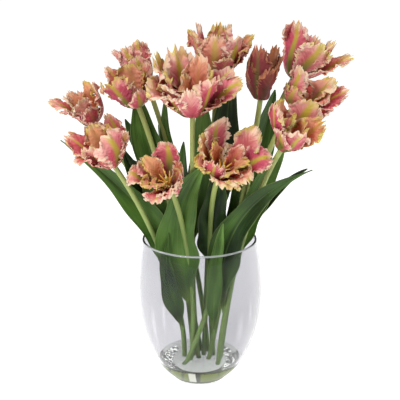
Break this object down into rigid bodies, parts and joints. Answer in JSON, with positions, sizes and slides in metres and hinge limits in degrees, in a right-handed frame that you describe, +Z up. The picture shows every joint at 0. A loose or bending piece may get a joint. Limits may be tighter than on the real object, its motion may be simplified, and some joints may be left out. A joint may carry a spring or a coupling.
{
  "type": "tulips in a vase",
  "caption": "Cut parrot tulips with frilled pink petals, striped green, and broad leaves, standing in shallow water in a clear barrel-shaped glass vase.",
  "frame": {"origin": "centre of the vase's flat underside", "axes": "+Z up along the vase's axis, -Y the front as pictured, +X the viewer's right"},
  "size_m": [0.4092, 0.1969, 0.4911],
  "materials": {
    "glass": "clear polished glass with a faint grey tint",
    "water": "clear still water",
    "foliage": "satin dark green leaves on lighter yellow-green stems",
    "petals": "soft matt rose and salmon petals, green mid stripe, cream frilled edge",
    "petals_dark": "soft matt maroon petals, dark green mid stripe",
    "stamens": "matt orange-yellow"
  },
  "bodies": {
    "root": {"vase": "glass", "water": "water", "stem_a": "foliage", "bloom_a": "petals", "stamens_a": "stamens", "stem_b": "foliage", "bloom_b": "petals", "stamens_b": "stamens", "stem_c": "foliage", "bloom_c": "petals", "stamens_c": "stamens", "stem_d": "foliage", "bloom_d": "petals", "stamens_d": "stamens", "stem_e": "foliage", "bloom_e": "petals", "stamens_e": "stamens", "stem_f": "foliage", "bloom_f": "petals", "stamens_f": "stamens", "stem_g": "foliage", "bloom_g": "petals_dark", "stamens_g": "stamens", "stem_h": "foliage", "bloom_h": "petals", "stamens_h": "stamens", "stem_i": "foliage", "bloom_i": "petals", "stamens_i": "stamens", "stem_j": "foliage", "bloom_j": "petals", "stamens_j": "stamens", "stem_k": "foliage", "bloom_k": "petals", "stamens_k": "stamens", "stem_l": "foliage", "bloom_l": "petals", "stamens_l": "stamens"}
  },
  "joints": []
}
